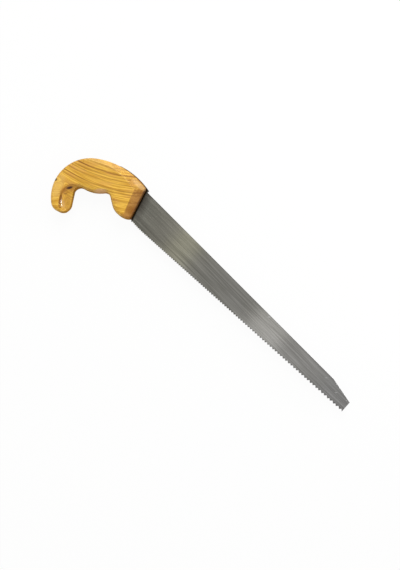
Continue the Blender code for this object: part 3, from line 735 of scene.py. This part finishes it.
# painted shade: the ramp darkens the blade towards the handle
(first_x, first_shade), *middle_tones, (last_x, last_shade) = PAINTED_SHADE_TONES
way_along = add_node(tree, "ShaderNodeMapRange", {
    "Value": blade_x, "From Min": first_x, "From Max": last_x}).outputs[0]
painted_shade_ramp = add_node(tree, "ShaderNodeValToRGB", {"Fac": way_along})
painted_shade_ramp.color_ramp.elements[0].color = linear(first_shade)
painted_shade_ramp.color_ramp.elements[1].color = linear(last_shade)
for x, shade in middle_tones:
    painted_shade_ramp.color_ramp.elements.new((x - first_x) / (last_x - first_x)).color = linear(shade)
tone = painted_shade_ramp.outputs[0]
for name, dark, light in (("fine", "#c6c6c4", "#ffffff"), ("bloom", "#f4f4f2", "#ffffff")):
    share = add_node(tree, "ShaderNodeMapRange", {
        "Value": streaks[name], "From Min": 0.3, "From Max": 0.7}).outputs[0]
    shade = add_node(tree, "ShaderNodeMixRGB", {
        "Fac": share, "Color1": linear(dark), "Color2": linear(light)}).outputs[0]
    tone = add_node(tree, "ShaderNodeMixRGB", {"Fac": 1.0, "Color1": tone, "Color2": shade},
                    blend_type="MULTIPLY").outputs[0]
for place in SCUFFS_MM:
    scuff = mark(tree, blade_mm, place, SCUFF_SIZE_MM, SCUFF_TURN, core=0.6, strength=0.8)
    tone = add_node(tree, "ShaderNodeMixRGB", {
        "Fac": scuff, "Color1": tone, "Color2": linear("#ffffff")}).outputs[0]
depth = add_node(tree, "ShaderNodeVectorMath", {0: blade_mm, 1: (*inwards, 0.0)},
                 operation="DOT_PRODUCT").outputs[1]
gullet_mm = gullets[-1].dot(inwards) * MM
# darker along the teeth and along the back
for value, line_mm, (clean, dull) in ((depth, gullet_mm, EDGE_DARKENING_MM), (blade_y, 0.0, BACK_DARKENING_MM)):
    darkened_edges = add_node(tree, "ShaderNodeMapRange", {
        "Value": value, "From Min": line_mm + clean, "From Max": line_mm + dull, "To Max": 0.4}).outputs[0]
    tone = add_node(tree, "ShaderNodeMixRGB", {
        "Fac": darkened_edges, "Color1": tone, "Color2": linear("#4a4a48")}).outputs[0]
foot_corner = grip_points[-1]
foot_mm = (along(angle_of(foot_corner) + GRIP_HANG, foot_corner.length) - BLADE_ORIGIN).y * MM
scale_and_shadow_run = (math.cos(FRONT_LEAN), math.sin(FRONT_LEAN) + SCALE_AND_SHADOW_GROWTH, 0.0)
ahead = add_node(tree, "ShaderNodeVectorMath", {0: blade_mm, 1: scale_and_shadow_run},
                 operation="DOT_PRODUCT").outputs[1]
rust_gone = add_node(tree, "ShaderNodeMapRange", {
    "Value": ahead, "From Min": RUST_MM[0], "From Max": RUST_MM[1]}).outputs[0]
scale_and_shadow_colour = add_node(tree, "ShaderNodeMixRGB", {
    "Fac": rust_gone, "Color1": linear("#86602c"), "Color2": linear("#1c120a")}).outputs[0]
# the stain and the scale, each running into painted shadow of the handle just ahead of the wood
for (full, gone), (foot_end, foot_full), strength, shade in (
        (STAIN_AND_SHADOW_MM, STAIN_AND_SHADOW_FOOT_MM, 0.72, linear("#2a1e14")), (SCALE_AND_SHADOW_MM, SCALE_AND_SHADOW_FOOT_MM, 0.97, scale_and_shadow_colour)):
    near_wood = add_node(tree, "ShaderNodeMapRange", {
        "Value": blade_y, "From Min": foot_mm + foot_end, "From Max": foot_mm + foot_full,
        "To Max": strength}).outputs[0]
    share = add_node(tree, "ShaderNodeMapRange", {
        "Value": ahead, "From Min": full, "From Max": gone, "To Min": near_wood, "To Max": 0.0}).outputs[0]
    tone = add_node(tree, "ShaderNodeMixRGB", {
        "Fac": share, "Color1": tone, "Color2": shade}).outputs[0]
tree.links.new(tone, shader.inputs["Base Color"])
shader.inputs["Metallic"].default_value = 1.0
shader.inputs["Roughness"].default_value = 0.20
shader.inputs["Anisotropic"].default_value = 0.94
shader.inputs["Anisotropic Rotation"].default_value = 0.25
brushing = add_node(tree, "ShaderNodeTangent", direction_type="UV_MAP", uv_map="brushing").outputs[0]
tree.links.new(brushing, shader.inputs["Tangent"])

teeth = bpy.data.node_groups.new("saw_teeth", "GeometryNodeTree")
teeth.interface.new_socket("Blade", in_out="OUTPUT", socket_type="NodeSocketGeometry")
sockets = {}
for name, kind in (("Blank", "Geometry"), ("Thickness", "Float"), ("Tooth angle", "Float"), ("Set", "Float"),
                   ("Fleam", "Float"), ("Along the edge", "Vector"), ("Steel", "Material")):
    sockets[name] = teeth.interface.new_socket(name, in_out="INPUT", socket_type="NodeSocket" + kind)
given = add_node(teeth, "NodeGroupInput").outputs
slant = add_node(teeth, "ShaderNodeMath", {0: given["Fleam"]}, operation="TANGENT").outputs[0]
position = add_node(teeth, "GeometryNodeInputPosition").outputs[0]
height = add_node(teeth, "ShaderNodeSeparateXYZ", {0: position}).outputs[2]
number = add_node(teeth, "GeometryNodeInputNamedAttribute", {"Name": "tooth"},
                  data_type="INT").outputs["Attribute"]
seats = add_node(teeth, "FunctionNodeCompare", {2: number},
                 data_type="INT", operation="GREATER_THAN").outputs[0]
odd = add_node(teeth, "ShaderNodeMath", {0: number, 1: 2.0}, operation="FLOORED_MODULO").outputs[0]
side = add_node(teeth, "ShaderNodeMath", {0: odd, 1: 2.0, 2: -1.0}, operation="MULTIPLY_ADD").outputs[0]
turned = add_node(teeth, "ShaderNodeMath", {0: height, 1: side}, operation="MULTIPLY").outputs[0]
slanted = add_node(teeth, "ShaderNodeMath", {0: turned, 1: slant}, operation="MULTIPLY").outputs[0]
area = add_node(teeth, "GeometryNodeInputMeshFaceArea").outputs[0]
pitch = add_node(teeth, "ShaderNodeMath", {0: area, 1: given["Thickness"]}, operation="DIVIDE").outputs[0]
half_angle = add_node(teeth, "ShaderNodeMath", {0: given["Tooth angle"], 1: 0.5},
                      operation="MULTIPLY").outputs[0]
steepness = add_node(teeth, "ShaderNodeMath", {0: half_angle}, operation="TANGENT").outputs[0]
half_pitch = add_node(teeth, "ShaderNodeMath", {0: pitch, 1: 0.5}, operation="MULTIPLY").outputs[0]
rise = add_node(teeth, "ShaderNodeMath", {0: half_pitch, 1: steepness}, operation="DIVIDE").outputs[0]
drawn = add_node(teeth, "GeometryNodeExtrudeMesh", {
    "Mesh": given["Blank"], "Selection": seats, "Offset Scale": rise, "Individual": True},
    mode="FACES").outputs
pointed = add_node(teeth, "GeometryNodeScaleElements", {
    "Geometry": drawn["Mesh"], "Selection": drawn["Top"], "Scale": 0.0, "Axis": given["Along the edge"]},
    domain="FACE", scale_mode="SINGLE_AXIS").outputs[0]
half_plate = add_node(teeth, "ShaderNodeMath", {0: given["Thickness"], 1: 0.5},
                      operation="MULTIPLY").outputs[0]
fall = add_node(teeth, "ShaderNodeMath", {0: half_plate, 1: slant, 2: slanted},
                operation="MULTIPLY_ADD").outputs[0]
to_back = add_node(teeth, "ShaderNodeVectorMath", {0: (0.0, 0.0, 1.0), 1: given["Along the edge"]},
                   operation="CROSS_PRODUCT").outputs[0]
fallen = add_node(teeth, "ShaderNodeVectorMath", {0: to_back, "Scale": fall}, operation="SCALE").outputs[0]
lean = add_node(teeth, "ShaderNodeMath", {0: given["Set"], 1: side}, operation="MULTIPLY").outputs[0]
leant = add_node(teeth, "ShaderNodeCombineXYZ", {2: lean}).outputs[0]
tip_move = add_node(teeth, "ShaderNodeVectorMath", {0: fallen, 1: leant}, operation="SUBTRACT").outputs[0]
leaning = add_node(teeth, "GeometryNodeSetPosition", {
    "Geometry": pointed, "Selection": drawn["Top"], "Offset": tip_move}).outputs[0]
joined = add_node(teeth, "GeometryNodeMergeByDistance", {"Geometry": leaning, "Distance": 1e-5}).outputs[0]
realized = add_node(teeth, "GeometryNodeRealizeInstances", {0: joined}).outputs[0]
finished = add_node(teeth, "GeometryNodeSetMaterial", {
    "Geometry": realized, "Material": given["Steel"]}).outputs[0]
add_node(teeth, "NodeGroupOutput", {0: finished})
filing = blade.modifiers.new("filing", "NODES")
filing.node_group = teeth
edge_run = (*along(gullet_heading), 0.0)
for name, value in (("Thickness", BLADE_THICKNESS), ("Tooth angle", TOOTH_ANGLE), ("Set", TOOTH_SET),
                    ("Fleam", TOOTH_FLEAM), ("Along the edge", edge_run), ("Steel", steel)):
    filing[sockets[name].identifier] = value
settle(blade)
blade.data.transform(blade_place)
carve(blade, screw_holes())
brushing_map = blade.data.uv_layers.new(name="brushing")
for loop in blade.data.loops:
    brushing_map.uv[loop.index].vector = blade.data.vertices[loop.vertex_index].co.xy
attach(blade, "root")
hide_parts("blade")

# Screws: three turned steel screws, countersunk into the lower cheek. Each passes through the tang and ends
# inside the wood of the upper cheek, so only the slotted heads show, and only from below.
SCREW_SLOT_WIDTH = 0.0010
SCREW_SLOT_DEPTH = 0.0011
SCREW_TURNS = (0.4, 1.9, 2.7)       # where the driver left each slot, in radians
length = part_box(SCREWS[0])[1].z
screw = turned_body("turned_screw", screw_profile(0.0, length, FIT), SCREW_STEPS)
slot_edge = SCREW_SLOT_WIDTH / 2
slot_end = SCREW_HEAD_RADIUS + OVERSHOOT
slot_cross = [(-slot_edge, -OVERSHOOT), (slot_edge, -OVERSHOOT), (slot_edge, FIT + SCREW_SLOT_DEPTH),
              (-slot_edge, FIT + SCREW_SLOT_DEPTH)]
slot = loft("slot", [[(x, *corner) for corner in slot_cross] for x in (-slot_end, slot_end)])
carve(screw, [slot])

# Screw steel, turned and left bright: an even grey with a soft sheen, without the blade's streaks and stains.
screw_steel = bpy.data.materials.new("turned_bright_steel")
screw_steel.use_nodes = True
shader = screw_steel.node_tree.nodes["Principled BSDF"]
shader.inputs["Base Color"].default_value = linear("#a8a8a4")
shader.inputs["Metallic"].default_value = 1.0
shader.inputs["Roughness"].default_value = 0.32

bm = bmesh.new()
turn_of = bm.verts.layers.float.new("turn")
for name, turn in zip(SCREWS, SCREW_TURNS):
    bm.verts.new(screw_foot(name))[turn_of] = turn
screws = new_piece("turned_screws", bm)
driving = bpy.data.node_groups.new("driven_screws", "GeometryNodeTree")
driving.interface.new_socket("Screws", in_out="OUTPUT", socket_type="NodeSocketGeometry")
sockets = {}
for name, kind in (("Places", "Geometry"), ("Screw", "Object"), ("Steel", "Material")):
    sockets[name] = driving.interface.new_socket(name, in_out="INPUT", socket_type="NodeSocket" + kind)
given = add_node(driving, "NodeGroupInput").outputs
turn = add_node(driving, "GeometryNodeInputNamedAttribute", {"Name": "turn"},
                data_type="FLOAT").outputs["Attribute"]
euler = add_node(driving, "ShaderNodeCombineXYZ", {2: turn}).outputs[0]
rotation = add_node(driving, "FunctionNodeEulerToRotation", {0: euler}).outputs[0]
shape = add_node(driving, "GeometryNodeObjectInfo", {
    "Object": given["Screw"], "As Instance": True}).outputs["Geometry"]
placed = add_node(driving, "GeometryNodeInstanceOnPoints", {
    "Points": given["Places"], "Instance": shape, "Rotation": rotation}).outputs[0]
realized = add_node(driving, "GeometryNodeRealizeInstances", {0: placed}).outputs[0]
finished = add_node(driving, "GeometryNodeSetMaterial", {
    "Geometry": realized, "Material": given["Steel"]}).outputs[0]
add_node(driving, "NodeGroupOutput", {0: finished})
driven = screws.modifiers.new("driven", "NODES")
driven.node_group = driving
driven[sockets["Screw"].identifier] = screw
driven[sockets["Steel"].identifier] = screw_steel
settle(screws)
bpy.data.objects.remove(screw)
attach(screws, "root")
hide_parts(*SCREWS)

# Studio: a white paper floor and soft light from all round, with a large soft lamp high at the handle's back,
# two small lamps over the blade for its two bands of light, and a low one beside the grip. The camera looks
# straight down.
PHOTO_PIXEL = 0.001379              # size on the saw of one pixel of the photo
PHOTO_HEIGHT = 570                  # in pixels
CAMERA_HEIGHT = 0.760               # above the middle of the saw's thickness
CAMERA_FOOT = (0.2058, -0.0068)     # the point that it looks down on
SENSOR_WIDTH = 36.0                 # in mm, as the lens is
FLOOR_SIZE = 6.0
PAPER_GLOW = 0.94                   # how far the camera sees the paper as plain white, without shadow
ROOM_LIGHT = (1.0, 0.45)            # at the horizon and overhead
floor_bm = bmesh.new()
bmesh.ops.create_grid(floor_bm, x_segments=1, y_segments=1, size=FLOOR_SIZE / 2)
floor = new_piece("paper_floor", floor_bm)

# White paper: matt and even, nearly plain white to the camera, with the saw's shadow faint on it.
paper = bpy.data.materials.new("white_paper")
paper.use_nodes = True
tree = paper.node_tree
tree.nodes.clear()
rays = add_node(tree, "ShaderNodeLightPath").outputs
seen = rays["Is Camera Ray"]
for kind in ("Is Glossy Ray", "Is Transmission Ray"):
    seen = add_node(tree, "ShaderNodeMath", {0: seen, 1: rays[kind]}, operation="MAXIMUM").outputs[0]
glow = add_node(tree, "ShaderNodeMath", {0: seen, 1: PAPER_GLOW}, operation="MULTIPLY").outputs[0]
matt = add_node(tree, "ShaderNodeBsdfDiffuse", {"Color": linear("#f4f4f2")}).outputs[0]
white = add_node(tree, "ShaderNodeEmission", {"Strength": 1.0}).outputs[0]
shown = add_node(tree, "ShaderNodeMixShader", {0: glow, 1: matt, 2: white}).outputs[0]
add_node(tree, "ShaderNodeOutputMaterial", {"Surface": shown})
floor.data.materials.append(paper)

world = bpy.data.worlds.new("soft_room")
bpy.context.scene.world = world
world.use_nodes = True
tree = world.node_tree
up = add_node(tree, "ShaderNodeTexCoord").outputs["Generated"]
up = add_node(tree, "ShaderNodeSeparateXYZ", {0: up}).outputs[2]
light = add_node(tree, "ShaderNodeMapRange", {
    "Value": up, "To Min": ROOM_LIGHT[0], "To Max": ROOM_LIGHT[1]}).outputs[0]
tree.links.new(light, tree.nodes["Background"].inputs["Strength"])
tree.nodes["Background"].inputs["Color"].default_value = linear("#ffffff")

LAMPS = (       # name, place, size, power in watts, colour, what it is aimed at
    ("key", (-0.550, 0.900, 1.100), (1.00, 1.00), 12.8, "#ffffff", (0.10, 0.0, 0.0125)),
    ("grip_lamp", (0.548, 0.705, 0.220), (0.50, 0.10), 2.6, "#ffffff", (-0.008, -0.060, 0.0200)),
    ("blade_lamp", (0.457, 0.068, 1.010), (0.12, 0.30), 0.060, "#ffffff", (0.457, 0.0, 0.0125)),
    ("heel_lamp", (0.084, 0.068, 1.010), (0.08, 0.30), 0.040, "#fafad6", (0.084, 0.0, 0.0125)),
)
for name, place, size, power, shade, aim in LAMPS:
    lamp = bpy.data.lights.new(name, "AREA")
    lamp.shape = "RECTANGLE"
    lamp.size, lamp.size_y = size
    lamp.energy = power
    lamp.color = linear(shade)[:3]
    stand = bpy.data.objects.new(name, lamp)
    stand.location = place
    stand.rotation_euler = (Vector(aim) - Vector(place)).to_track_quat("-Z", "Y").to_euler()
    bpy.context.scene.collection.objects.link(stand)

lens = bpy.data.cameras.new("photo_view")
lens.sensor_width = SENSOR_WIDTH
lens.lens = SENSOR_WIDTH * CAMERA_HEIGHT / (PHOTO_HEIGHT * PHOTO_PIXEL)
camera = bpy.data.objects.new("photo_view", lens)
camera.location = (*CAMERA_FOOT, half_grip + CAMERA_HEIGHT)
camera.rotation_euler = (0.0, 0.0, GRIP_HANG)
bpy.context.scene.collection.objects.link(camera)
bpy.context.scene.camera = camera
bpy.context.scene.view_settings.view_transform = "Standard"
